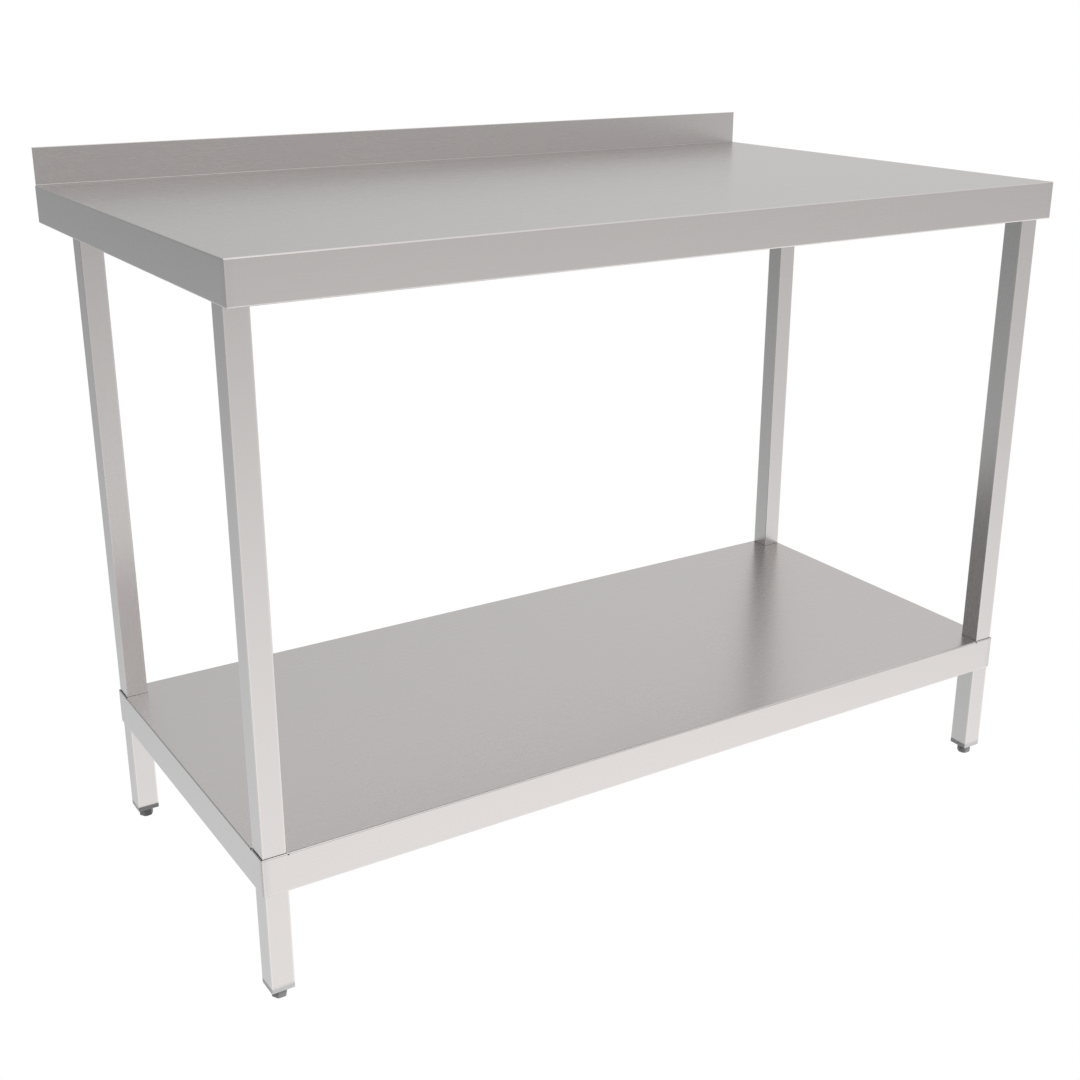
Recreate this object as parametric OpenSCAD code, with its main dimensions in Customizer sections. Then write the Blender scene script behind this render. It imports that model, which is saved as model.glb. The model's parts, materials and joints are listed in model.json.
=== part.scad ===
// Stainless steel work table with a rear upstand, an undershelf and four levelling feet.
//
// X runs along the worktop, the front faces -Y and +Z is up. The origin is on the floor under the middle
// of the worktop. Lengths are in millimetres. All feet are drawn screwed fully in.

/* [Worktop] */
// Length of the worktop, left to right
top_length = 1200; // [1000:50:1600]
// Depth of the worktop, front to back
top_depth = 700; // [600:10:800]
// Height of the work surface above the floor
top_height = 890; // [840:5:920]
// Depth of the folded edge below the work surface
apron_height = 50; // [44:1:60]
// Height of the rear upstand above the work surface
upstand_height = 50; // [30:5:150]
// Thickness of the worktop and shelf sheet
sheet = 1; // [0.8:0.1:1.2]
// Outer radius of the sheet's top bends
bend_radius = 2; // [2:0.5:4]
// Width of the lip turned in under each folded edge
lip_width = 15; // [12:1:17]

/* [Legs] */
// Side of the square leg tube
leg_side = 30; // [30:1:36]
// Wall of the leg tube
leg_wall = 1.5; // [1.2:0.1:2]
// Gap from the worktop's ends to the legs
leg_inset_side = 2.5; // [2.5:0.5:5]
// Gap from the worktop's front edge to the front legs
leg_inset_front = 19.5; // [19:0.5:60]
// Gap from the worktop's rear edge to the rear legs, which leaves room for pipes along a wall
leg_inset_rear = 151.5; // [40:0.5:170]

/* [Shelf] */
// Height of the shelf above the floor
shelf_height = 200; // [150:5:400]
// Depth of the shelf's folded edge
skirt_height = 50; // [46:1:60]
// Gap between a leg's outer side and the shelf's end skirt
shelf_gap_side = 0.8; // [0.8:0.1:1.5]
// Gap between a leg and the shelf's front or rear skirt
shelf_gap_front = 0.8; // [0.8:0.1:3]
// Slit left open at each corner of the shelf's skirt
corner_slit = 0.6; // [0.4:0.1:1]

/* [Feet] */
// Height of a leg's end cap above the floor, with the foot screwed in
foot_height = 15; // [14:0.5:20]
// Height of the end cap's visible flange
cap_height = 7; // [5:0.5:10]
// Width across the flats of the hexagonal foot
hex_flats = 17; // [15:0.5:19]
// Diameter of the foot's threaded stud
stud_diameter = 10; // [8:1:10]
// How far a foot screws out
foot_travel = 20; // [10:1:22]

/* [Hidden] */
$fn = 48;

// The four corners: name, side of the table in X and in Y.
CORNERS = [
    ["front_left", -1, -1],
    ["front_right", 1, -1],
    ["rear_left", -1, 1],
    ["rear_right", 1, 1],
];
TOP_STIFFENERS = [["left", -1], ["middle", 0], ["right", 1]];
SHELF_STIFFENERS = [["left", -1], ["right", 1]];

slop = 1;                                 // how far a cutting tool runs past what it cuts
apron_bottom = top_height - apron_height;
top_under = top_height - sheet;
lip_radius = 1.5;                         // outer radius of the bend into a lip
end_radius = 1.2;                         // ground radius of the welded vertical corners
upstand_thickness = 2 * sheet;            // the sheet folded back on itself
upstand_fillet = 1.5;                     // inner radius where the worktop turns up
upstand_inset = 1;                        // from each end of the worktop to the upstand's end
hem_radius = 0.9 * sheet;                 // of the fold along the upstand's top
lip_clearance = 1.2;                      // from a lip's notch to the leg

leg_x = top_length / 2 - leg_inset_side - leg_side / 2;
leg_front_y = -top_depth / 2 + leg_inset_front + leg_side / 2;
leg_rear_y = top_depth / 2 - leg_inset_rear - leg_side / 2;
leg_bottom = foot_height + cap_height;
leg_radius = 1;                           // outer corner radius of the tube
leg_bore = leg_side - 2 * leg_wall;

shelf_length = 2 * leg_x + leg_side + 2 * (shelf_gap_side + sheet);
shelf_front = leg_front_y - leg_side / 2 - shelf_gap_front - sheet;
shelf_rear = leg_rear_y + leg_side / 2 + shelf_gap_front + sheet;
shelf_depth = shelf_rear - shelf_front;
shelf_bottom = shelf_height - skirt_height;
shelf_under = shelf_height - sheet;
shelf_bend_radius = 2;
shelf_lip = 12;
notch_clearance = 0.6;                    // from the shelf's corner notch to the leg
relief_width = 2;                         // relief cut at each end of the shelf's bends, right through them
relief_depth = 3;

hat_sheet = 1.2;
hat_crown = 60;
hat_flange = 15;
top_hat_height = 30;
top_hat_spacing = 0.275 * top_length;     // from one channel under the worktop to the next
shelf_hat_height = 25;
shelf_hat_offset = top_length / 6;        // of the shelf's channels from its middle
hat_end_gap = 2.5;                        // leaves the bends' inner radius free
hat_stud_y = top_depth / 4;               // of a channel's weld studs, to the front and to the rear

plate = 3;                                // thickness of the leg brackets
bracket_size = 76;                        // side of the bracket's top plate
bracket_drop = 40;                        // length of the bracket's angle down the leg
bracket_overlap = leg_side / 2 - 1;       // from the leg's axis to the plate's outer edges
stud_reach = 48;                          // from the leg's axis to the weld studs
leg_top = top_under - plate;

shelf_plate = 2.5;                        // thickness of the shelf brackets
shelf_tab = 18;                           // width of their weld tabs
shelf_plate_gap = 2;                      // below the shelf sheet and above its lip

// Fasteners: [thread, flats, head or nut height, washer diameter, washer thickness, hole]
M6 = [6, 10, 4.5, 12, 1.6, 6.6];
M8 = [8, 13, 5.8, 16, 1.6, 8.6];
top_bolt_drops = [14, 30];                // of the two bolts below the leg's top: along X, along Y
shelf_bolt_rises = [32, 16];              // of the two bolts above the shelf's lower edge
top_bolt_z = [for (drop = top_bolt_drops) leg_top - drop];
shelf_bolt_z = [for (rise = shelf_bolt_rises) shelf_bottom + rise];

plug_height = 24;                         // of the end cap, up inside the tube
plug_clearance = 0.8;                     // from the plug to the tube, bridged by its ribs
plug_radius = 2;
plug_ribs = 3;
plug_rib = 1.4;                           // height of one rib
cap_edge = 1;                             // rounding of the cap's lower edges
bush_radius = 7;
bush_base = 3;                            // plastic under the bush, above the cap's flange
bush_height = 20;
stud_clearance = 0.05;                    // running fit of the stud in its bush
cap_hole_clearance = 0.6;
cap_gap = 0.3;                            // between the foot's hexagon and the cap
glide_disc = 1.5;                         // thickness of the glide under the hexagon
glide_radius = 6.5;
glide_gap = 0.2;
pivot_radius = 4;
pivot_height = 4;
pivot_clearance = 0.06;
stud_socket = 6;                          // how deep the stud sits in the hexagon
stud_spare = foot_travel / 2;             // stud above the bush, so that it stays well held when out
stud_length = stud_socket + cap_gap + cap_height + bush_base + bush_height + stud_spare;
stud_chamfer = 1;
hex_trim = 1.2;                           // taken off the hexagon's lower corners
glide_edge = 0.3;                         // bevel round the glide

function same_radii(r) = [r, r, r, r];

// A rectangle w by h with its corners rounded to radii [lower left, lower right, upper right, upper left].
module round_rect(w, h, radii) {
    difference() {
        square([w, h]);
        if (radii[0] > 0) corner_cut(radii[0]);
        if (radii[1] > 0) translate([w, 0]) rotate(90) corner_cut(radii[1]);
        if (radii[2] > 0) translate([w, h]) rotate(180) corner_cut(radii[2]);
        if (radii[3] > 0) translate([0, h]) rotate(270) corner_cut(radii[3]);
    }
}

// What a rounding of radius r takes off a corner at the origin.
module corner_cut(r) {
    difference() {
        translate([-slop, -slop]) square(r + slop);
        translate([r, r]) circle(r);
    }
}

// A block whose lowest corner is at low. Its edges along X, Y and Z are rounded to four radii each, and each
// four are in round_rect's order, seen in the planes (Y, Z), (X, Z) and (X, Y).
module rounded_block(low, size, along_x, along_y, along_z) {
    translate(low) intersection() {
        rotate([90, 0, 90]) linear_extrude(size[0]) round_rect(size[1], size[2], along_x);
        translate([0, size[1], 0]) rotate([90, 0, 0])
            linear_extrude(size[1]) round_rect(size[0], size[2], along_y);
        linear_extrude(size[2]) round_rect(size[0], size[1], along_z);
    }
}

// A sheet folded down on all sides, with a lip turned in under each side. The front and the ends have the
// outer bend radius given, and the rear has its own, which is 0 where an upstand rises instead.
module folded_pan(low, size, lip, bend, rear_bend) {
    inner = [for (length = size) length - 2 * sheet];
    rear_end_radius = rear_bend > 0 ? end_radius : 0;
    difference() {
        rounded_block(low, size,
            [lip_radius, lip_radius, rear_bend, bend],
            [lip_radius, lip_radius, bend, bend],
            [end_radius, end_radius, rear_end_radius, rear_end_radius]);
        rounded_block(low + sheet * [1, 1, 1], inner,
            [0, 0, max(rear_bend - sheet, 0), bend - sheet],
            [0, 0, bend - sheet, bend - sheet],
            same_radii(0));
        translate([low[0] + lip, low[1] + lip, low[2] - slop])
            cube([size[0] - 2 * lip, size[1] - 2 * lip, sheet + 2 * slop]);
    }
}

// Places its children at a leg, turned so that +X and +Y point in towards the middle of the table.
module at_corner(c) {
    translate([c[1] * leg_x, c[2] < 0 ? leg_front_y : leg_rear_y, 0])
        mirror([c[1] > 0 ? 1 : 0, 0, 0])
            mirror([0, c[2] > 0 ? 1 : 0, 0])
                children();
}

module worktop_pan() {
    half_x = top_length / 2;
    half_y = top_depth / 2;
    color("lightgray") difference() {
        union() {
            folded_pan([-half_x, -half_y, apron_bottom], [top_length, top_depth, apron_height],
                lip_width, bend_radius, 0);
            upstand();
        }
        for (c = CORNERS) at_corner(c) lip_notch();
    }
}

// The rear of the sheet turned up and hemmed back on itself, with the inner bend at its foot.
module upstand() {
    length = top_length - 2 * upstand_inset;
    face_y = top_depth / 2 - upstand_thickness;
    translate([-length / 2, face_y, top_under]) rotate([90, 0, 90]) linear_extrude(length)
        round_rect(upstand_thickness, sheet + upstand_height, [0, 0, hem_radius, hem_radius]);
    translate([-length / 2, face_y, top_height]) rotate([90, 0, 90]) linear_extrude(length)
        cove(upstand_fillet, sheet / 2);
}

// The filling of an inner bend whose corner is at the origin: it sits above and to the left of it, and runs
// on below and to the right by a depth, to join what is there.
module cove(radius, depth) {
    difference() {
        translate([-radius, -depth]) square(radius + depth);
        translate([-radius, radius]) circle(radius);
    }
}

// Where the worktop's side lips are cut away round a leg.
module lip_notch() {
    reach = leg_side / 2 + lip_clearance;
    translate([-reach, -reach, apron_bottom - slop]) cube([2 * reach, 2 * reach, sheet + 2 * slop]);
}

module shelf_pan() {
    color("gainsboro") difference() {
        folded_pan([-shelf_length / 2, shelf_front, shelf_bottom],
            [shelf_length, shelf_depth, skirt_height],
            shelf_lip, shelf_bend_radius, shelf_bend_radius);
        for (c = CORNERS) at_corner(c) shelf_corner_cuts();
    }
}

// The notch for a leg, the relief cuts beside it and the slit between the skirts, at one shelf corner.
module shelf_corner_cuts() {
    inner_x = -leg_side / 2 - shelf_gap_side;
    inner_y = -leg_side / 2 - shelf_gap_front;
    reach = leg_side / 2 + notch_clearance;
    translate([inner_x, inner_y, shelf_under - shelf_bend_radius])
        cube([reach - inner_x, reach - inner_y, shelf_bend_radius + sheet + slop]);
    translate([inner_x + lip_radius - sheet, inner_y + lip_radius - sheet, shelf_bottom - slop])
        cube([reach - inner_x, reach - inner_y, sheet + 2 * slop]);
    translate([reach, inner_y - sheet - slop, shelf_height - relief_depth])
        cube([relief_width, shelf_bend_radius + slop, relief_depth + slop]);
    translate([inner_x - sheet - slop, reach, shelf_height - relief_depth])
        cube([shelf_bend_radius + slop, relief_width, relief_depth + slop]);
    translate([inner_x - sheet - slop, inner_y, shelf_bottom - slop])
        cube([sheet + 2 * slop, corner_slit, skirt_height + 2 * slop]);
}

// A hat channel along Y, crown down, hanging from a sheet at height z between y0 and y1.
module hat_channel(x, y0, y1, z, height) {
    half = hat_crown / 2;
    translate([x, y1, z]) rotate([90, 0, 0]) linear_extrude(y1 - y0) {
        for (side = [0, 1]) mirror([side, 0]) {
            translate([half - hat_sheet, -hat_sheet]) square([hat_flange + hat_sheet, hat_sheet]);
            translate([half - hat_sheet, -height]) square([hat_sheet, height]);
        }
        translate([-half, -height]) square([hat_crown, hat_sheet]);
    }
}

module top_stiffener(s) {
    reach = top_depth / 2 - sheet - hat_end_gap;
    x = s[1] * top_hat_spacing;
    color("silver") difference() {
        hat_channel(x, -reach, reach, top_under, top_hat_height);
        for (p = stiffener_stud_places(s)) translate([p[0], p[1], top_under - hat_sheet - slop])
            cylinder(d = M6[5], h = hat_sheet + 2 * slop);
    }
}

module shelf_stiffener(s) {
    color("silver")
        hat_channel(s[1] * shelf_hat_offset, shelf_front + sheet + hat_end_gap,
            shelf_rear - sheet - hat_end_gap, shelf_under, shelf_hat_height);
}

module leg(c) {
    length = leg_top - leg_bottom;
    inner_radius = max(leg_radius - leg_wall, 0);
    color("whitesmoke") at_corner(c) difference() {
        translate([-leg_side / 2, -leg_side / 2, leg_bottom]) linear_extrude(length)
            round_rect(leg_side, leg_side, same_radii(leg_radius));
        translate([-leg_bore / 2, -leg_bore / 2, leg_bottom - slop]) linear_extrude(length + 2 * slop)
            round_rect(leg_bore, leg_bore, same_radii(inner_radius));
        leg_holes(top_bolt_z, M8[5]);
        leg_holes(shelf_bolt_z, M6[5]);
    }
}

// Holes through the two inner walls of a leg: one along X at heights[0], one along Y at heights[1].
module leg_holes(heights, diameter) {
    run = leg_wall + 2 * slop;
    translate([leg_bore / 2 - slop, 0, heights[0]]) rotate([0, 90, 0]) cylinder(d = diameter, h = run);
    translate([0, leg_bore / 2 - slop, heights[1]]) rotate([-90, 0, 0]) cylinder(d = diameter, h = run);
}

// A plate under the worktop with an angle down the two inner sides of the leg.
module leg_bracket(c) {
    half = leg_side / 2;
    color("silver") at_corner(c) difference() {
        union() {
            translate([-bracket_overlap, -bracket_overlap, leg_top])
                cube([bracket_size, bracket_size, plate]);
            translate([half, -half, leg_top - bracket_drop])
                cube([plate, leg_side + plate, bracket_drop + plate]);
            translate([-half, half, leg_top - bracket_drop])
                cube([leg_side + plate, plate, bracket_drop + plate]);
        }
        translate([half - slop, 0, top_bolt_z[0]]) rotate([0, 90, 0])
            cylinder(d = M8[5], h = plate + 2 * slop);
        translate([0, half - slop, top_bolt_z[1]]) rotate([-90, 0, 0])
            cylinder(d = M8[5], h = plate + 2 * slop);
        for (p = bracket_stud_places()) translate([p[0], p[1], leg_top - slop])
            cylinder(d = M6[5], h = plate + 2 * slop);
    }
}

// An upright angle in the shelf's corner, with a weld tab against each skirt.
module shelf_bracket(c) {
    half = leg_side / 2;
    outer_x = -half - shelf_gap_side;
    outer_y = -half - shelf_gap_front;
    low = shelf_bottom + sheet + shelf_plate_gap;
    high = shelf_under - shelf_plate_gap;
    color("silver") at_corner(c) difference() {
        translate([0, 0, low]) linear_extrude(high - low) {
            translate([half, outer_y]) square([shelf_plate, half + shelf_plate - outer_y]);
            translate([outer_x, half]) square([half + shelf_plate - outer_x, shelf_plate]);
            translate([half, outer_y]) square([shelf_tab, shelf_plate]);
            translate([outer_x, half]) square([shelf_plate, shelf_tab]);
        }
        translate([half - slop, 0, shelf_bolt_z[0]]) rotate([0, 90, 0])
            cylinder(d = M6[5], h = shelf_plate + 2 * slop);
        translate([0, half - slop, shelf_bolt_z[1]]) rotate([-90, 0, 0])
            cylinder(d = M6[5], h = shelf_plate + 2 * slop);
    }
}

// The plastic plug in a leg's lower end: a flange as wide as the leg, and a ribbed plug round the bush.
module end_cap(c) {
    plug_side = leg_bore - 2 * plug_clearance;
    rib_pitch = plug_height / plug_ribs;
    stud_hole = stud_diameter / 2 + cap_hole_clearance;
    color("darkgray") at_corner(c) difference() {
        union() {
            rounded_block([-leg_side / 2, -leg_side / 2, foot_height], [leg_side, leg_side, cap_height],
                [cap_edge, cap_edge, 0, 0], [cap_edge, cap_edge, 0, 0], same_radii(leg_radius));
            translate([-plug_side / 2, -plug_side / 2, leg_bottom]) linear_extrude(plug_height)
                round_rect(plug_side, plug_side, same_radii(plug_radius));
            for (i = [1:plug_ribs])
                translate([-leg_bore / 2, -leg_bore / 2, leg_bottom + i * rib_pitch - plug_rib])
                    linear_extrude(plug_rib) round_rect(leg_bore, leg_bore, same_radii(plug_radius));
        }
        translate([0, 0, foot_height - slop])
            cylinder(r = stud_hole, h = cap_height + bush_base + 2 * slop);
        translate([0, 0, leg_bottom + bush_base]) cylinder(r = bush_radius, h = plug_height);
    }
}

// The metal bush that the foot's stud screws through, with a grip groove round it.
module threaded_bush(c) {
    groove = 2;
    groove_depth = 0.6;
    color("goldenrod") at_corner(c) translate([0, 0, leg_bottom + bush_base]) difference() {
        cylinder(r = bush_radius, h = bush_height);
        translate([0, 0, -slop]) cylinder(d = stud_diameter + 2 * stud_clearance, h = bush_height + 2 * slop);
        translate([0, 0, (bush_height - groove) / 2]) difference() {
            cylinder(r = bush_radius + slop, h = groove);
            translate([0, 0, -slop]) cylinder(r = bush_radius - groove_depth, h = groove + 2 * slop);
        }
    }
}

module foot_stud(c) {
    radius = stud_diameter / 2;
    hex_top = foot_height - cap_gap;
    color("lightslategray") at_corner(c) translate([0, 0, hex_top - stud_socket]) {
        cylinder(r = radius, h = stud_length - stud_chamfer);
        translate([0, 0, stud_length - stud_chamfer])
            cylinder(r1 = radius, r2 = radius - stud_chamfer, h = stud_chamfer);
    }
}

// The hexagonal base moulded on the stud. A cone trims its lower corners, and the glide turns in its hole.
module foot_hex(c) {
    low = glide_disc + glide_gap;
    high = foot_height - cap_gap;
    corner = hex_flats / sqrt(3);
    cone_low = corner - hex_trim / 2;
    color("dimgray") at_corner(c) difference() {
        translate([0, 0, low]) intersection() {
            hexagon(hex_flats, high - low);
            cylinder(r1 = cone_low, r2 = cone_low + high - low, h = high - low);
        }
        translate([0, 0, high - stud_socket]) cylinder(d = stud_diameter, h = stud_socket + slop);
        translate([0, 0, low - slop])
            cylinder(r = pivot_radius + pivot_clearance, h = pivot_height + slop);
    }
}

// The pad that stands on the floor while the hexagon above it turns.
module foot_glide(c) {
    color("gray") at_corner(c) {
        cylinder(r1 = glide_radius - glide_edge, r2 = glide_radius, h = glide_edge);
        translate([0, 0, glide_edge]) cylinder(r = glide_radius, h = glide_disc - glide_edge);
        translate([0, 0, glide_disc]) cylinder(r = pivot_radius, h = pivot_height);
    }
}

// Where weld studs stand: by a leg, as seen from its axis, and along a channel.
function bracket_stud_places() = [[stud_reach, 0], [stud_reach, stud_reach], [0, stud_reach]];

function stiffener_stud_places(s) = [
    for (side = [-1, 1]) for (end = [-1, 1])
        [s[1] * top_hat_spacing + side * (hat_crown + hat_flange) / 2, end * hat_stud_y]
];

// Runs its children at the top of each weld stud; $grip is the thickness that the stud passes through.
module at_top_studs() {
    for (c = CORNERS) at_corner(c) for (p = bracket_stud_places()) {
        $grip = plate;
        translate([p[0], p[1], top_under]) children();
    }
    for (s = TOP_STIFFENERS) for (p = stiffener_stud_places(s)) {
        $grip = hat_sheet;
        translate([p[0], p[1], top_under]) children();
    }
}

// Runs its children at each leg bolt, with +Z pointing away from the leg along the bolt, at the outside
// of a bracket of the given thickness.
module at_leg_bolts(heights, thickness) {
    for (c = CORNERS) at_corner(c) {
        translate([leg_side / 2 + thickness, 0, heights[0]]) rotate([0, 90, 0]) children();
        translate([0, leg_side / 2 + thickness, heights[1]]) rotate([-90, 0, 0]) children();
    }
}

module hexagon(flats, height) {
    cylinder(r = flats / sqrt(3), h = height, $fn = 6);
}

module washer(m) {
    difference() {
        cylinder(d = m[3], h = m[4]);
        translate([0, 0, -slop]) cylinder(d = m[5], h = m[4] + 2 * slop);
    }
}

module nut(m) {
    difference() {
        hexagon(m[1], m[2]);
        translate([0, 0, -slop]) cylinder(d = m[0], h = m[2] + 2 * slop);
    }
}

// A hexagon-head screw whose head bears on z = 0 and whose shank runs down from it.
module screw(m, shank) {
    hexagon(m[1], m[2]);
    translate([0, 0, -shank]) cylinder(d = m[0], h = shank);
}

module top_weld_studs() {
    tail = 3;
    color("silver") at_top_studs() {
        length = $grip + M6[4] + M6[2] + tail;
        translate([0, 0, -length]) cylinder(d = M6[0], h = length);
    }
}

module top_stud_washers() {
    color("silver") at_top_studs() translate([0, 0, -$grip - M6[4]]) washer(M6);
}

module top_stud_nuts() {
    color("silver") at_top_studs() translate([0, 0, -$grip - M6[4] - M6[2]]) nut(M6);
}

module leg_top_bolts() {
    color("silver") at_leg_bolts(top_bolt_z, plate)
        translate([0, 0, M8[4]]) screw(M8, M8[4] + plate + leg_wall + M8[2]);
}

module leg_top_washers() {
    color("silver") at_leg_bolts(top_bolt_z, plate) washer(M8);
}

module leg_top_weld_nuts() {
    color("silver") at_leg_bolts(top_bolt_z, plate) translate([0, 0, -plate - leg_wall - M8[2]]) nut(M8);
}

module shelf_bolts() {
    color("silver") at_leg_bolts(shelf_bolt_z, shelf_plate)
        translate([0, 0, M6[4]]) screw(M6, M6[4] + shelf_plate + leg_wall + M6[2]);
}

module shelf_washers() {
    color("silver") at_leg_bolts(shelf_bolt_z, shelf_plate) washer(M6);
}

module shelf_weld_nuts() {
    color("silver") at_leg_bolts(shelf_bolt_z, shelf_plate)
        translate([0, 0, -shelf_plate - leg_wall - M6[2]]) nut(M6);
}

worktop_pan();
shelf_pan();
for (s = TOP_STIFFENERS) top_stiffener(s);
for (s = SHELF_STIFFENERS) shelf_stiffener(s);
for (c = CORNERS) {
    leg(c);
    leg_bracket(c);
    shelf_bracket(c);
    end_cap(c);
    threaded_bush(c);
    foot_stud(c);
    foot_hex(c);
    foot_glide(c);
}
top_weld_studs();
top_stud_washers();
top_stud_nuts();
leg_top_bolts();
leg_top_washers();
leg_top_weld_nuts();
shelf_bolts();
shelf_washers();
shelf_weld_nuts();
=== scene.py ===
import json
import math

import bpy
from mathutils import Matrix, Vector


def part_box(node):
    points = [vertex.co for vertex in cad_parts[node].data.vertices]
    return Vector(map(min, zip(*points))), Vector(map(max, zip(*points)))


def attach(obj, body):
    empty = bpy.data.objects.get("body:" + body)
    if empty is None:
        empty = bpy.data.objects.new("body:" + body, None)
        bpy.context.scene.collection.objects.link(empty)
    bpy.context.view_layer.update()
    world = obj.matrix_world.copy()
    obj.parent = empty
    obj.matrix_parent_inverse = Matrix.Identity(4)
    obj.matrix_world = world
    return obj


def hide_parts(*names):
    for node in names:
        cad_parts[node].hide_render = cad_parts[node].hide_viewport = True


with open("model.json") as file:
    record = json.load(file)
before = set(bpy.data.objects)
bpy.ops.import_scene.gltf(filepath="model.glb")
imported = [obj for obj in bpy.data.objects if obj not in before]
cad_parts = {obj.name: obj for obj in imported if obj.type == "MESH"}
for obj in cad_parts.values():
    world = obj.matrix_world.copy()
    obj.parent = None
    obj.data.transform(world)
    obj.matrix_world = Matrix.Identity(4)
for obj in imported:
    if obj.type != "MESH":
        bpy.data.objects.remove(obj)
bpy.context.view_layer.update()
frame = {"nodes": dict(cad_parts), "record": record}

# Lengths are in metres, in the frame of the CAD model: X runs along the worktop, the front faces -Y, +Z is up
# and the floor is at z = 0.
CORNERS = ("front_left", "front_right", "rear_left", "rear_right")


def middle_of(node):
    low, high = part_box(node)
    return [(a + b) / 2 for a, b in zip(low, high)]


LEG_X = middle_of("leg_front_right")[0]
LEG_FRONT_Y = middle_of("leg_front_right")[1]
LEG_REAR_Y = middle_of("leg_rear_right")[1]
LEG_HALF = (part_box("leg_front_right")[1][0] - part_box("leg_front_right")[0][0]) / 2
SHEET = 0.001
CHANNEL_SHEET = 0.0012
CHANNEL_FLANGE = 0.015
UPSTAND_THICKNESS = 2 * SHEET
WORK_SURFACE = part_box("top_stiffener_middle")[1][2] + SHEET
WORKTOP_LOW, WORKTOP_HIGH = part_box("worktop_pan")
SHELF_LOW, SHELF_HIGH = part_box("shelf_pan")
CAP_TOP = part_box("leg_front_right")[0][2]

# --- Camera and studio -------------------------------------------------------------------------------

CAMERA_PLACE = (-1.115, -1.758, 1.133)
CAMERA_TILT = 69.94
CAMERA_TURN = -32.03
LENS = 49.87
SENSOR = 36.0

# The studio glows by direction: its walls most towards the right, its ceiling most overhead, and a soft box
# high in front. Below the horizon the walls go over into a lit floor, over the first FLOOR_REACH of the way
# down.
WALL_GLOW = 0.265
WALL_FRONT_RIGHT = 0.31
WALL_BACK_RIGHT = 0.425
CEILING_GLOW = 0.86
FLOOR_GLOW = 0.85
FLOOR_FRONT_RIGHT = 0.48
FLOOR_REACH = 0.56
FRONT_BOX_GLOW = 1.07
FRONT_BOX_NARROWNESS = 32.0
FRONT_RIGHT = (0.707, -0.707, 0.0)
BACK_RIGHT = (0.707, 0.707, 0.0)
FRONT_BOX = (0.2, -0.78, 0.59)
UP = (0.0, 0.0, 1.0)
# The light is a little warm from above and from the front right, and a little cool from the opposite side.
WARM_FROM_ABOVE = 1.6
WARM = (1.012, 1.0, 0.995)
COOL = (0.968, 1.0, 1.005)
# Large soft lamps for the matt plastics, which the metals don't reflect: place, side and radiance.
LAMPS = {
    "front": ((0.4, -2.9, 2.3), 2.0, 27.0),
    "left": ((-3.0, 0.3, 2.0), 2.0, 8.0),
}
LAMP_AIM = (0.0, 0.0, 0.2)
FLOOR_RADIUS = 12.0
FLOOR_SIDES = 64
WHITE = (1.0, 1.0, 1.0, 1.0)

# --- Node helpers ------------------------------------------------------------------------------------


def add(tree, kind, inputs=None, **settings):
    """Adds a node. Each value in inputs is either a socket to link from or the socket's constant."""
    node = tree.nodes.new(kind)
    for name, value in settings.items():
        setattr(node, name, value)
    for name, value in (inputs or {}).items():
        if isinstance(value, bpy.types.NodeSocket):
            tree.links.new(value, node.inputs[name])
        else:
            node.inputs[name].default_value = value
    return node


def arithmetic(tree, operation, a, b=0.0, c=0.0):
    """One Math node's output."""
    return add(tree, "ShaderNodeMath", {0: a, 1: b, 2: c}, operation=operation).outputs[0]


def weighted(tree, base, *terms):
    """base plus each (value, weight) term's product."""
    for value, weight in terms:
        base = arithmetic(tree, "MULTIPLY_ADD", value, weight, base)
    return base


def smooth_range(tree, value, low, high, to_low=0.0, to_high=1.0):
    """value carried smoothly from low..high to to_low..to_high."""
    return add(tree, "ShaderNodeMapRange", {
        "Value": value, "From Min": low, "From Max": high, "To Min": to_low, "To Max": to_high,
    }, interpolation_type="SMOOTHSTEP").outputs["Result"]


def split(tree, vector):
    return add(tree, "ShaderNodeSeparateXYZ", {0: vector}).outputs


def combine(tree, x, y, z=0.0):
    return add(tree, "ShaderNodeCombineXYZ", {0: x, 1: y, 2: z}).outputs[0]


def noise(tree, vector, scale=1.0, detail=2.0, roughness=0.5):
    return add(tree, "ShaderNodeTexNoise", {
        "Vector": vector, "Scale": scale, "Detail": detail, "Roughness": roughness,
    }).outputs["Fac"]


def new_material(name):
    material = bpy.data.materials.new(name)
    material.use_nodes = True
    material.node_tree.nodes.clear()
    return material, material.node_tree


def finish_material(tree, shade, colour, roughness, height, **constants):
    """Joins a principled shader. shade scales colour, and height is the relief in metres."""
    tinted = add(tree, "ShaderNodeVectorMath", {0: colour, "Scale": shade}, operation="SCALE").outputs[0]
    relief = add(tree, "ShaderNodeBump", {"Strength": 1.0, "Distance": 1.0, "Height": height}).outputs[0]
    shader = add(tree, "ShaderNodeBsdfPrincipled", {
        "Base Color": tinted, "Roughness": roughness, "Normal": relief,
    })
    for socket, value in constants.items():
        shader.inputs[socket.replace("_", " ").title().replace("Ior", "IOR")].default_value = value
    add(tree, "ShaderNodeOutputMaterial", {"Surface": shader.outputs[0]})


# --- Camera, lights and floor --------------------------------------------------------------------------


def make_camera():
    data = bpy.data.cameras.new("camera")
    data.lens = LENS
    data.sensor_width = SENSOR
    camera = bpy.data.objects.new("camera", data)
    bpy.context.scene.collection.objects.link(camera)
    camera.location = CAMERA_PLACE
    camera.rotation_euler = (math.radians(CAMERA_TILT), 0.0, math.radians(CAMERA_TURN))
    bpy.context.scene.camera = camera


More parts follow.
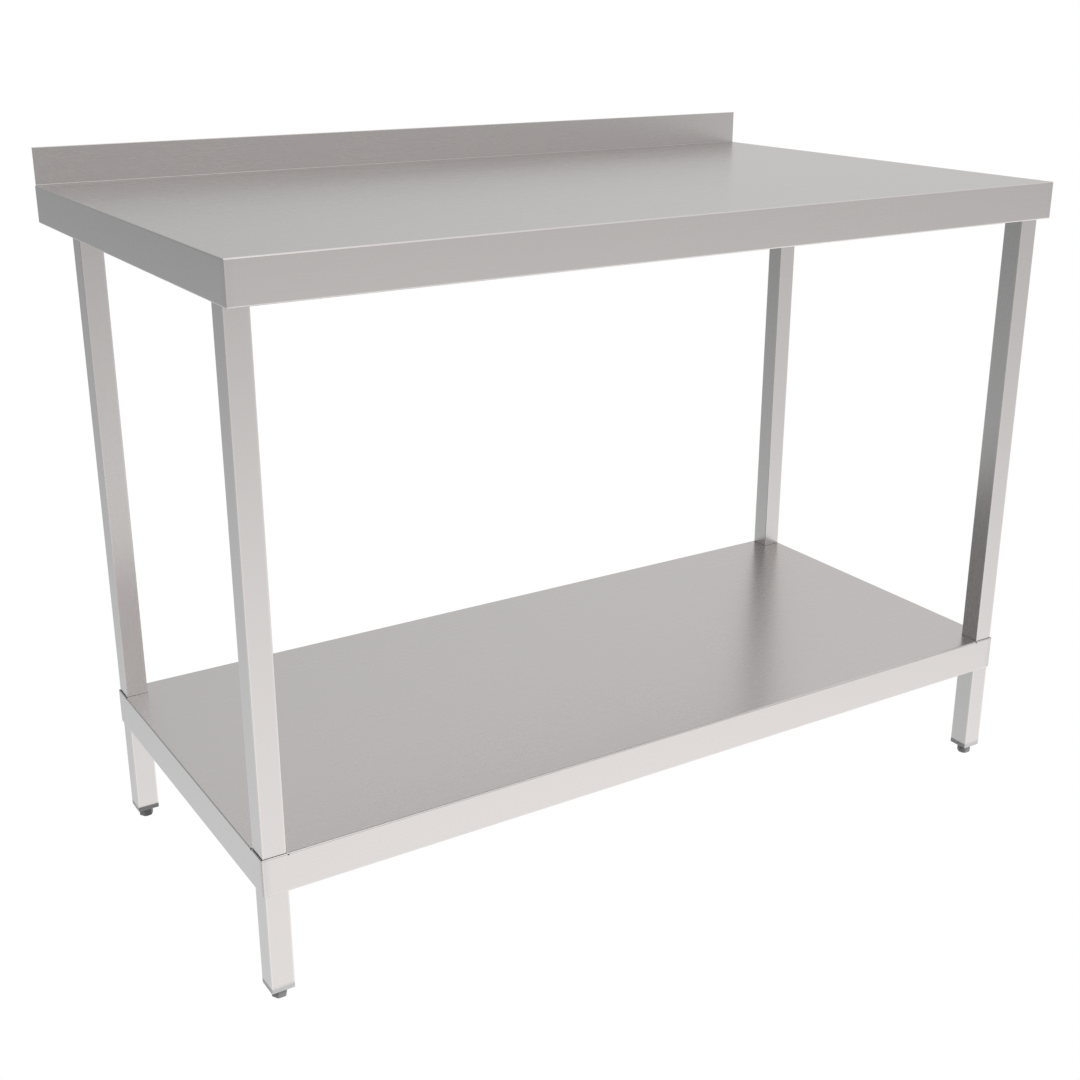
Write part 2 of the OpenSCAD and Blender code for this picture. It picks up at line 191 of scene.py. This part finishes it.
def make_world():
    """White to the camera. Everything else sees the glowing studio."""
    world = bpy.data.worlds.new("studio")
    bpy.context.scene.world = world
    world.use_nodes = True
    tree = world.node_tree
    tree.nodes.clear()
    direction = add(tree, "ShaderNodeTexCoord").outputs["Generated"]

    def along(axis):
        product = add(tree, "ShaderNodeVectorMath", {0: direction, 1: axis}, operation="DOT_PRODUCT")
        return product.outputs["Value"]

    def lobe(axis, narrowness):
        """1 in the direction axis, falling to 0 at right angles to it."""
        return arithmetic(tree, "POWER", arithmetic(tree, "MAXIMUM", along(axis), 0.0), narrowness)

    walls = weighted(tree, WALL_GLOW, (lobe(FRONT_RIGHT, 2.0), WALL_FRONT_RIGHT),
                     (lobe(BACK_RIGHT, 2.0), WALL_BACK_RIGHT))
    floor = weighted(tree, FLOOR_GLOW, (lobe(FRONT_RIGHT, 1.0), FLOOR_FRONT_RIGHT))
    down = smooth_range(tree, along(UP), -FLOOR_REACH, 0.0, 1.0, 0.0)
    glow = arithmetic(tree, "MULTIPLY_ADD", arithmetic(tree, "SUBTRACT", floor, walls), down, walls)
    glow = weighted(tree, glow, (lobe(UP, 2.0), CEILING_GLOW),
                    (lobe(FRONT_BOX, FRONT_BOX_NARROWNESS), FRONT_BOX_GLOW))
    toward_warm = weighted(tree, along(FRONT_RIGHT), (lobe(UP, 1.0), WARM_FROM_ABOVE))
    warmth = smooth_range(tree, toward_warm, -1.0, 1.0)
    tint = add(tree, "ShaderNodeMix", {"Factor": warmth, 6: (*COOL, 1.0), 7: (*WARM, 1.0)},
               data_type="RGBA").outputs[2]
    room = add(tree, "ShaderNodeBackground", {"Color": tint, "Strength": glow})
    white = add(tree, "ShaderNodeBackground", {"Color": WHITE, "Strength": 1.0})
    seen = add(tree, "ShaderNodeLightPath").outputs["Is Camera Ray"]
    mix = add(tree, "ShaderNodeMixShader", {0: seen, 1: room.outputs[0], 2: white.outputs[0]})
    add(tree, "ShaderNodeOutputWorld", {"Surface": mix.outputs[0]})


def make_lamp(name, place, side, radiance):
    data = bpy.data.lights.new(name, "AREA")
    data.shape = "SQUARE"
    data.size = side
    data.energy = radiance * math.pi * side ** 2
    lamp = bpy.data.objects.new(name, data)
    bpy.context.scene.collection.objects.link(lamp)
    lamp.location = place
    lamp.rotation_euler = (Vector(LAMP_AIM) - Vector(place)).to_track_quat("-Z", "Y").to_euler()
    lamp.visible_camera = False
    lamp.visible_glossy = False


def make_floor():
    """A pale floor that the camera sees from above. Everything else sees the glow of the studio below it."""
    mesh = bpy.data.meshes.new("floor")
    angles = [math.tau * i / FLOOR_SIDES for i in range(FLOOR_SIDES)]
    rim = [(FLOOR_RADIUS * math.cos(a), FLOOR_RADIUS * math.sin(a), 0.0) for a in angles]
    mesh.from_pydata(rim, [], [range(FLOOR_SIDES)])
    floor = bpy.data.objects.new("floor", mesh)
    bpy.context.scene.collection.objects.link(floor)
    material, tree = new_material("floor_paper")
    clear = add(tree, "ShaderNodeBsdfTransparent")
    white = add(tree, "ShaderNodeEmission", {"Color": WHITE, "Strength": 1.0})
    seen = add(tree, "ShaderNodeLightPath").outputs["Is Camera Ray"]
    below = add(tree, "ShaderNodeNewGeometry").outputs["Backfacing"]
    visible = arithmetic(tree, "SUBTRACT", seen, below)
    paper = add(tree, "ShaderNodeMixShader", {0: visible, 1: clear.outputs[0], 2: white.outputs[0]})
    add(tree, "ShaderNodeOutputMaterial", {"Surface": paper.outputs[0]})
    mesh.materials.append(material)


# --- Surface patterns ----------------------------------------------------------------------------------

# The direction of the brushing, as two distances on the surface: along it and across it. Each is a
# coordinate, and the coordinate that takes its place on faces that look along the third axis named.
GRAIN = {
    "sheet": (("X", "Z", "X"), ("Y", "Z", "Y")),
    "upright": (("Z", "Z", "Z"), ("Y", "X", "Y")),
    "fore_aft": (("Y", "Y", "Y"), ("X", "Z", "X")),
}
# Each pattern's length along the brushing and width across it.
FINE_STREAK = (0.15, 0.0006)
SOFT_STREAK = (1.5, 0.004)
# The height that each pattern adds to the surface.
FINE_DEPTH = 3.0e-7
SOFT_DEPTH = 3.0e-7
CLOUD_SIZE = 0.13
CLOUD_DEPTH = 2.5e-5


def surface(tree):
    """A point's place and normal in the object's frame, each split in X, Y and Z, and the place unsplit."""
    coordinates = add(tree, "ShaderNodeTexCoord").outputs
    return split(tree, coordinates["Object"]), split(tree, coordinates["Normal"]), coordinates["Object"]


def grain_lines(tree, place, normal, grain):
    """The distances along and across the brushing."""
    lines = []
    for axis, folded_axis, facing in GRAIN[grain]:
        line = place[axis]
        if folded_axis != axis:
            turned = arithmetic(tree, "MULTIPLY", normal[facing], normal[facing])
            step = arithmetic(tree, "SUBTRACT", place[folded_axis], place[axis])
            line = arithmetic(tree, "MULTIPLY_ADD", turned, step, place[axis])
        lines.append(line)
    return lines


def streaks(tree, lines, size, detail=2.0):
    """Noise drawn out along the brushing."""
    along, across = lines
    return noise(tree, combine(tree, arithmetic(tree, "DIVIDE", along, size[0]),
                               arithmetic(tree, "DIVIDE", across, size[1])), detail=detail)


def near_edges(tree, place, low, high, width):
    """For each axis, 1 on the two planes where the box low..high ends along it, falling to 0 at width off."""
    near = []
    for axis, a, b in zip("XYZ", low, high):
        from_middle = arithmetic(tree, "ABSOLUTE", arithmetic(tree, "SUBTRACT", place[axis], (a + b) / 2))
        gap = arithmetic(tree, "ABSOLUTE", arithmetic(tree, "SUBTRACT", from_middle, (b - a) / 2))
        near.append(smooth_range(tree, gap, 0.0, width, 1.0, 0.0))
    return near


def edges(tree, near):
    """1 along a box's edges, from the three values of near_edges()."""
    x, y, z = near
    pairs = [arithmetic(tree, "MULTIPLY", a, b) for a, b in ((x, y), (y, z), (z, x))]
    return arithmetic(tree, "MAXIMUM", pairs[0], arithmetic(tree, "MAXIMUM", pairs[1], pairs[2]))


def from_leg(tree, place):
    """The place in the frame of the nearest leg: the distances from its axis, and z."""
    y_middle = (LEG_FRONT_Y + LEG_REAR_Y) / 2
    y_half = (LEG_REAR_Y - LEG_FRONT_Y) / 2
    x = arithmetic(tree, "SUBTRACT", arithmetic(tree, "ABSOLUTE", place["X"]), LEG_X)
    y = arithmetic(tree, "SUBTRACT", place["Y"], y_middle)
    y = arithmetic(tree, "SUBTRACT", arithmetic(tree, "ABSOLUTE", y), y_half)
    return {"X": x, "Y": y, "Z": place["Z"]}


# --- Materials -----------------------------------------------------------------------------------------

SATIN_STEEL = (0.64, 0.618, 0.611)
MILL_STEEL = (0.55, 0.55, 0.56)
SATIN_ROUGHNESS = 0.27
# How much the streaks and clouds change the colour and the roughness.
TONE_CONTRAST = 0.025
TONE_ROUGHNESS = 0.06
# The bends' colour is brightened as a painted highlight; the brushing and hands also polish them a little
# smoother.
BEND_WIDTH = 0.003
BEND_PAINTED_HIGHLIGHT = 0.12
BEND_SMOOTHER = 0.06
# Down the upright corners the sheet is welded and ground back, which leaves a duller band.
CORNER_WIDTH = 0.012
CORNER_DARKER = 0.05
CORNER_ROUGHER = 0.05
# Painted shade darkens the fold at the foot of the upstand.
FOLD_WIDTH = 0.003
FOLD_PAINTED_SHADE = 0.25
# The sheet's other side has the finish of the rolling mill.
MILL_DARKER = 0.12
MILL_ROUGHER = 0.10
# How much a face's direction counts in telling the outer side from the inner, which is blended between
# -OUTWARD_EDGE and OUTWARD_EDGE.
OUTWARD_SIDES = 4.0
OUTWARD_UPSTAND = 6.0
OUTWARD_EDGE = 0.3
UPSTAND_MARGIN = 0.0005
# The scuffed band at a leg's cut end, just above its cap.
CUT_END_HEIGHT = 0.004
CUT_END_DARKER = 0.06
CUT_END_ROUGHER = 0.06


def brushed(tree, place_vector, lines):
    """The tone of a brushed surface, about 0.5, and its relief in metres."""
    fine = streaks(tree, lines, FINE_STREAK, detail=3.0)
    soft = streaks(tree, lines, SOFT_STREAK, detail=3.0)
    cloud = noise(tree, place_vector, 1 / CLOUD_SIZE, detail=4.0)
    tone = weighted(tree, 0.0, (fine, 0.3), (soft, 0.4), (cloud, 0.3))
    height = weighted(tree, 0.0, (fine, FINE_DEPTH), (soft, SOFT_DEPTH), (cloud, CLOUD_DEPTH))
    return tone, height


def sheet_steel(name, low, high, fold_y=None):
    """A folded pan of brushed sheet whose bends are the edges of the box low..high, with a painted highlight
    on the bends and a duller inner side.

    Where fold_y is given, the sheet turns up there from the box's top, and painted shade darkens the fold."""
    material, tree = new_material(name)
    place, normal, place_vector = surface(tree)
    tone, height = brushed(tree, place_vector, grain_lines(tree, place, normal, "sheet"))
    bend = edges(tree, near_edges(tree, place, low, high, BEND_WIDTH))
    corner_x, corner_y, _ = near_edges(tree, place, low, high, CORNER_WIDTH)
    front = smooth_range(tree, place["Y"], low[1] / 2, 0.0, 1.0, 0.0)
    corner = arithmetic(tree, "MULTIPLY", arithmetic(tree, "MULTIPLY", corner_x, corner_y), front)

    middle = (low[2] + high[2]) / 2
    above = smooth_range(tree, place["Z"], middle, middle + SHEET, -1.0, 1.0)
    level = arithmetic(tree, "MULTIPLY", normal["Z"], above)
    side_x = arithmetic(tree, "MULTIPLY", normal["X"], place["X"])
    side_y = arithmetic(tree, "MULTIPLY", normal["Y"], place["Y"])
    upstand = arithmetic(tree, "GREATER_THAN", place["Z"], high[2] + UPSTAND_MARGIN)
    outward = weighted(tree, level, (side_x, OUTWARD_SIDES), (side_y, OUTWARD_SIDES),
                       (upstand, OUTWARD_UPSTAND))
    inner = smooth_range(tree, outward, -OUTWARD_EDGE, OUTWARD_EDGE, 1.0, 0.0)

    centred = arithmetic(tree, "SUBTRACT", tone, 0.5)
    # Painted highlight: the bends' colour is brightened.
    shade = weighted(tree, 1.0, (centred, TONE_CONTRAST), (bend, BEND_PAINTED_HIGHLIGHT), (corner, -CORNER_DARKER),
                     (inner, -MILL_DARKER))
    # Painted shade: the fold at the foot of the upstand is darkened.
    if fold_y is not None:
        from_fold = [arithmetic(tree, "ABSOLUTE", arithmetic(tree, "SUBTRACT", place[axis], at))
                     for axis, at in (("Y", fold_y), ("Z", high[2]))]
        in_fold = [smooth_range(tree, gap, 0.0, FOLD_WIDTH, 1.0, 0.0) for gap in from_fold]
        shade = weighted(tree, shade, (arithmetic(tree, "MULTIPLY", *in_fold), -FOLD_PAINTED_SHADE))
    roughness = weighted(tree, SATIN_ROUGHNESS, (centred, TONE_ROUGHNESS), (bend, -BEND_SMOOTHER),
                         (corner, CORNER_ROUGHER), (inner, MILL_ROUGHER))
    finish_material(tree, shade, SATIN_STEEL, roughness, height, metallic=1.0)
    return material


def tube_steel(name):
    """Brushed along the tube, smoother on its rounded corners, which get a painted highlight, and scuffed
    just above the cap.
    """
    material, tree = new_material(name)
    place, normal, place_vector = surface(tree)
    tone, height = brushed(tree, place_vector, grain_lines(tree, place, normal, "upright"))
    half = (LEG_HALF, LEG_HALF, LEG_HALF)
    near_x, near_y, _ = near_edges(tree, from_leg(tree, place), [-h for h in half], half, BEND_WIDTH)
    bend = arithmetic(tree, "MULTIPLY", near_x, near_y)
    cut_end = smooth_range(tree, place["Z"], CAP_TOP, CAP_TOP + CUT_END_HEIGHT, 1.0, 0.0)
    centred = arithmetic(tree, "SUBTRACT", tone, 0.5)
    # Painted highlight: the rounded corners' colour is brightened.
    shade = weighted(tree, 1.0, (centred, TONE_CONTRAST), (bend, BEND_PAINTED_HIGHLIGHT), (cut_end, -CUT_END_DARKER))
    roughness = weighted(tree, SATIN_ROUGHNESS, (centred, TONE_ROUGHNESS), (bend, -BEND_SMOOTHER),
                         (cut_end, CUT_END_ROUGHER))
    finish_material(tree, shade, SATIN_STEEL, roughness, height, metallic=1.0)
    return material


ROLLING_STREAK = (0.2, 0.003)
ROLLING_DEPTH = 6.0e-6
MATT_GRAIN = 0.0008
MATT_DEPTH = 4.0e-6
MILL_CLOUD = 0.04
MILL_CONTRAST = 0.25


def mill_steel(name, colour, roughness, grain):
    """Rolled sheet that is left as it comes: faint rolling lines under a fine matt grain."""
    material, tree = new_material(name)
    place, normal, place_vector = surface(tree)
    rolled = streaks(tree, grain_lines(tree, place, normal, grain), ROLLING_STREAK, detail=3.0)
    matt = noise(tree, place_vector, 1 / MATT_GRAIN, detail=3.0)
    cloud = noise(tree, place_vector, 1 / MILL_CLOUD, detail=4.0)
    tone = weighted(tree, -0.5, (rolled, 0.4), (matt, 0.3), (cloud, 0.3))
    shade = weighted(tree, 1.0, (tone, MILL_CONTRAST))
    height = weighted(tree, 0.0, (rolled, ROLLING_DEPTH), (matt, MATT_DEPTH))
    roughness = weighted(tree, roughness, (tone, MILL_CONTRAST))
    finish_material(tree, shade, colour, roughness, height, metallic=1.0)
    return material


TURNING_PITCH = 0.00035
TURNING_DEPTH = 8.0e-6
WEAR_SIZE = 0.006
TURNED_CONTRAST = 0.3


def turned_metal(name, colour, roughness):
    """Machined rings across the axis Z, and worn bright in patches."""
    material, tree = new_material(name)
    place, _, place_vector = surface(tree)
    turned = arithmetic(tree, "DIVIDE", place["Z"], TURNING_PITCH)
    rings = noise(tree, combine(tree, 0.0, 0.0, turned), detail=2.0)
    wear = noise(tree, place_vector, 1 / WEAR_SIZE, detail=4.0)
    tone = weighted(tree, -0.5, (rings, 0.5), (wear, 0.5))
    shade = weighted(tree, 1.0, (tone, TURNED_CONTRAST))
    height = weighted(tree, 0.0, (rings, TURNING_DEPTH))
    roughness = weighted(tree, roughness, (tone, TURNED_CONTRAST))
    finish_material(tree, shade, colour, roughness, height, metallic=1.0)
    return material


# The heat tint's colours, each with its place along the noise that mixes them.
HEAT_BLUE = (0.35, (0.30, 0.33, 0.42, 1.0))
HEAT_STRAW = (0.5, (0.55, 0.46, 0.33, 1.0))
HEAT_PALE = (0.65, (0.58, 0.55, 0.48, 1.0))
HEAT_SIZE = 0.005
WELD_GRAIN = 0.0006
WELD_DEPTH = 1.5e-5
WELD_ROUGHNESS = 0.22
WELD_CONTRAST = 0.3


def weld_steel(name):
    """A bead's cooled metal: bright ripples with straw and blue heat tint."""
    material, tree = new_material(name)
    _, _, place_vector = surface(tree)
    tint = noise(tree, place_vector, 1 / HEAT_SIZE, detail=3.0)
    ramp = add(tree, "ShaderNodeValToRGB", {"Fac": tint})
    stops = ramp.color_ramp.elements
    stops[0].position, stops[0].color = HEAT_BLUE
    stops[1].position, stops[1].color = HEAT_PALE
    straw_place, straw_colour = HEAT_STRAW
    straw = stops.new(straw_place)
    straw.color = straw_colour
    grains = noise(tree, place_vector, 1 / WELD_GRAIN, detail=3.0)
    relief = arithmetic(tree, "MULTIPLY", grains, WELD_DEPTH)
    roughness = weighted(tree, WELD_ROUGHNESS, (grains, WELD_CONTRAST))
    finish_material(tree, 1.0, ramp.outputs["Color"], roughness, relief, metallic=1.0)
    return material


MOULD_GRAIN = 0.0005
FLOW_SIZE = 0.008
MOULD_DEPTH = 2.0e-5
MOULD_CONTRAST = 0.35
GLOSS_CONTRAST = 0.25
SCUFF_WIDTH = 0.0018
SCUFF_PALER = 0.18


def moulded_plastic(name, colour, roughness, corners=False):
    """Spark-eroded mould grain, slightly uneven gloss and, where corners is set, edges scuffed paler."""
    material, tree = new_material(name)
    place, _, place_vector = surface(tree)
    pits = noise(tree, place_vector, 1 / MOULD_GRAIN, detail=3.0)
    flow = noise(tree, place_vector, 1 / FLOW_SIZE, detail=4.0)
    tone = weighted(tree, -0.5, (pits, 0.4), (flow, 0.6))
    shade = weighted(tree, 1.0, (tone, MOULD_CONTRAST))
    if corners:
        low = (-LEG_HALF, -LEG_HALF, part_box("end_cap_front_right")[0][2])
        high = (LEG_HALF, LEG_HALF, CAP_TOP)
        scuffs = edges(tree, near_edges(tree, from_leg(tree, place), low, high, SCUFF_WIDTH))
        shade = weighted(tree, shade, (scuffs, SCUFF_PALER))
    height = weighted(tree, 0.0, (pits, MOULD_DEPTH), (flow, MOULD_DEPTH))
    roughness = weighted(tree, roughness, (tone, GLOSS_CONTRAST))
    finish_material(tree, shade, colour, roughness, height, specular_ior_level=0.5)
    return material


def make_materials():
    # The worktop's rear has no bend at its top edge, where the upstand rises, so its box runs on past it.
    top_high = (WORKTOP_HIGH[0], WORKTOP_HIGH[1] + 2 * BEND_WIDTH, WORK_SURFACE)
    upstand_face = WORKTOP_HIGH[1] - UPSTAND_THICKNESS
    return {
        "worktop_steel": sheet_steel("worktop_satin", WORKTOP_LOW, top_high, fold_y=upstand_face),
        "shelf_steel": sheet_steel("shelf_satin", SHELF_LOW, SHELF_HIGH),
        "tube_steel": tube_steel("tube_satin"),
        "channel_steel": mill_steel("channel_mill", MILL_STEEL, 0.36, "fore_aft"),
        "bracket_steel": mill_steel("bracket_mill", (0.52, 0.52, 0.53), 0.40, "upright"),
        "fastener_steel": mill_steel("fastener_bright", (0.60, 0.60, 0.60), 0.28, "upright"),
        "cap_plastic": moulded_plastic("cap_moulded", (0.20, 0.20, 0.20), 0.42, corners=True),
        "foot_plastic": moulded_plastic("foot_moulded", (0.09, 0.09, 0.09), 0.38),
        "glide_plastic": moulded_plastic("glide_moulded", (0.06, 0.06, 0.06), 0.5),
        "bush_brass": turned_metal("bush_turned", (0.62, 0.48, 0.24), 0.32),
    }


# --- Pieces that the CAD model draws plain or leaves out --------------------------------------------------

THREAD_PITCH = 0.0015
THREAD_DEPTH = 0.00092
THREAD_STEPS = 32
# One pitch of the thread's profile, from 0 to 1 along the axis and from the root, 0, to the crest, 1.
THREAD_PROFILE = ((0.0, 1.0), (0.125, 1.0), (0.25, 0.71), (0.4, 0.26), (0.5, 0.0), (0.62, 0.0), (0.75, 0.35),
                  (0.9, 0.77))
BEAD_RADIUS = 0.0016
BEAD_RIPPLE = 0.0018
BEAD_SIDES = 10
BEAD_BOW = 0.25 * BEAD_RIPPLE
BEAD_END = 0.35
# One ripple's outline: the place along it, and the bead's radius there as a share of its greatest.
RIPPLE_PROFILE = ((0.15, 0.86), (0.45, 1.0), (0.75, 0.95), (1.0, 0.82))
# How far a bead sits into the corner it fills, and the share of the bracket's height that it runs along.
BEAD_INSET = 0.75 * BEAD_RADIUS
BEAD_SHARE = 0.7
SPOT_RADIUS = 0.003
SPOT_PITCH = 0.045
SPOT_SIDES = 20
SPOT_DEPTH = 0.0008
# A spot's rings from its middle, inside the sheet, to the dimple: the radius and the level, as shares.
SPOT_HUB_LEVEL = 0.3
SPOT_RINGS = ((1.0, 0.3), (1.0, 0.0), (0.78, -0.15), (0.6, -0.08), (0.5, -0.02))


def new_piece(name, vertices, faces, material, body):
    mesh = bpy.data.meshes.new(name)
    mesh.from_pydata(vertices, [], faces)
    mesh.materials.append(material)
    mesh.shade_smooth()
    piece = bpy.data.objects.new(name, mesh)
    bpy.context.scene.collection.objects.link(piece)
    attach(piece, body)
    return piece


def thread_mesh(centre, bottom, top, radius):
    """A closed, threaded rod with its ends run out on a helix and tapered over one pitch."""
    turns = int((top - bottom) / THREAD_PITCH) - 1
    rows = [(turn + at, height) for turn in range(turns) for at, height in THREAD_PROFILE]
    vertices = []
    for at, height in rows:
        for step in range(THREAD_STEPS):
            rise = (at + step / THREAD_STEPS) * THREAD_PITCH
            taper = max(0.0, 1 - min(rise, top - bottom - rise) / THREAD_PITCH)
            r = radius - THREAD_DEPTH * max(1 - height, taper)
            angle = math.tau * step / THREAD_STEPS
            vertices.append((centre[0] + r * math.cos(angle), centre[1] + r * math.sin(angle), bottom + rise))
    per_turn = len(THREAD_PROFILE)

    def index(row, step):
        """The vertex after the last one of a row is the first one, a turn further up."""
        return (row + per_turn * (step // THREAD_STEPS)) * THREAD_STEPS + step % THREAD_STEPS

    faces = []
    for row in range(len(rows) - per_turn - 1):
        for step in range(THREAD_STEPS):
            faces.append((index(row, step), index(row, step + 1),
                          index(row + 1, step + 1), index(row + 1, step)))
    last = len(rows) - per_turn - 1
    bottom_rim = [index(0, step) for step in range(THREAD_STEPS)]
    bottom_rim += [index(row, 0) for row in range(per_turn, 0, -1)]
    top_rim = [index(last, step) for step in range(THREAD_STEPS)]
    top_rim += [index(row, 0) for row in range(last + per_turn, last, -1)]
    for rim, level, flip in ((bottom_rim, 0.0, True), (top_rim, turns * THREAD_PITCH, False)):
        hub = len(vertices)
        vertices.append((centre[0], centre[1], bottom + level))
        for a, b in zip(rim, rim[1:] + rim[:1]):
            faces.append((hub, b, a) if flip else (hub, a, b))
    return vertices, faces


def make_threads(material):
    for corner in CORNERS:
        node = f"foot_stud_{corner}"
        low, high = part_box(node)
        vertices, faces = thread_mesh(middle_of(node), low[2], high[2], (high[0] - low[0]) / 2)
        thread = new_piece(f"foot_thread_{corner}", vertices, faces, material,
                           f"screw_{corner}")
        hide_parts(node)


def bead_mesh(foot, length):
    """An upright weld bead of overlapping ripples, with rounded ends, from the point foot."""
    rings = [(0.0, BEAD_END)]
    ripples = round(length / BEAD_RIPPLE)
    for ripple in range(ripples):
        for at, swell in RIPPLE_PROFILE:
            rings.append(((ripple + at) / ripples, swell))
    rings[-1] = (1.0, BEAD_END)
    vertices = []
    for at, swell in rings:
        for side in range(BEAD_SIDES):
            angle = math.tau * side / BEAD_SIDES
            # each ripple is bowed, as the pool solidifies behind the torch
            bow = BEAD_BOW * math.cos(2 * angle)
            vertices.append((foot[0] + swell * BEAD_RADIUS * math.cos(angle),
                             foot[1] + swell * BEAD_RADIUS * math.sin(angle), foot[2] + at * length + bow))
    faces = [tuple(range(BEAD_SIDES))[::-1]]
    for ring in range(len(rings) - 1):
        for side in range(BEAD_SIDES):
            a = ring * BEAD_SIDES + side
            b = ring * BEAD_SIDES + (side + 1) % BEAD_SIDES
            faces.append((a, b, b + BEAD_SIDES, a + BEAD_SIDES))
    faces.append(tuple(range(len(vertices) - BEAD_SIDES, len(vertices))))
    return vertices, faces


def make_shelf_welds(material):
    """Two beads hold each shelf bracket's tabs to the inner faces of the skirts."""
    for corner in CORNERS:
        low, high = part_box(f"shelf_bracket_{corner}")
        x_out, x_in = sorted((low[0], high[0]), key=abs, reverse=True)
        y_out, y_in = (low[1], high[1]) if corner.startswith("front") else (high[1], low[1])
        toward_x = math.copysign(1, x_in - x_out)
        toward_y = math.copysign(1, y_in - y_out)
        length = BEAD_SHARE * (high[2] - low[2])
        base = (low[2] + high[2] - length) / 2
        at_front = (x_in + toward_x * BEAD_INSET / 2, y_out + toward_y * BEAD_INSET, base)
        at_side = (x_out + toward_x * BEAD_INSET, y_in + toward_y * BEAD_INSET / 2, base)
        for side, foot in (("front", at_front), ("side", at_side)):
            vertices, faces = bead_mesh(foot, length)
            new_piece(f"shelf_weld_{side}_{corner}", vertices, faces, material, "frame")


def spot_mesh(centre):
    """The dimple that a spot welder's electrode leaves: a shallow hollow in a raised rim, seen from below."""
    vertices = [(centre[0], centre[1], centre[2] + SPOT_HUB_LEVEL * SPOT_DEPTH)]
    faces = []
    for scale, level in SPOT_RINGS:
        for side in range(SPOT_SIDES):
            angle = math.tau * side / SPOT_SIDES
            vertices.append((centre[0] + scale * SPOT_RADIUS * math.cos(angle),
                             centre[1] + scale * SPOT_RADIUS * math.sin(angle),
                             centre[2] + level * SPOT_DEPTH))
    for side in range(SPOT_SIDES):
        faces.append((0, 1 + side, 1 + (side + 1) % SPOT_SIDES))
    for ring in range(len(SPOT_RINGS) - 1):
        for side in range(SPOT_SIDES):
            a = 1 + ring * SPOT_SIDES + side
            b = 1 + ring * SPOT_SIDES + (side + 1) % SPOT_SIDES
            faces.append((b, a, a + SPOT_SIDES, b + SPOT_SIDES))
    faces.append(tuple(range(len(vertices) - SPOT_SIDES, len(vertices)))[::-1])
    return vertices, faces


def make_spot_welds(material):
    """A row of spot welds along each flange of the shelf's stiffening channels."""
    for side in ("left", "right"):
        low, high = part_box(f"shelf_stiffener_{side}")
        count = int((high[1] - low[1]) / SPOT_PITCH)
        vertices, faces = [], []
        for x in (low[0] + CHANNEL_FLANGE / 2, high[0] - CHANNEL_FLANGE / 2):
            for spot in range(count):
                y = (low[1] + high[1]) / 2 + (spot - (count - 1) / 2) * SPOT_PITCH
                more_vertices, more_faces = spot_mesh((x, y, high[2] - CHANNEL_SHEET))
                faces += [tuple(i + len(vertices) for i in face) for face in more_faces]
                vertices += more_vertices
        new_piece(f"shelf_spot_welds_{side}", vertices, faces, material, "frame")


# --- The scene -----------------------------------------------------------------------------------------

make_camera()
make_world()
for lamp_name, lamp in LAMPS.items():
    make_lamp(lamp_name, *lamp)
make_floor()
materials = make_materials()
for part in frame["record"]["subparts"]:
    node = frame["nodes"][part["node"]]
    node.data.materials.clear()
    node.data.materials.append(materials[part["material_slot"]])
weld = weld_steel("weld_bead")
make_threads(turned_metal("thread_cut", (0.58, 0.58, 0.58), 0.3))
make_shelf_welds(weld)
make_spot_welds(weld)

bpy.context.scene.view_settings.view_transform = "Standard"
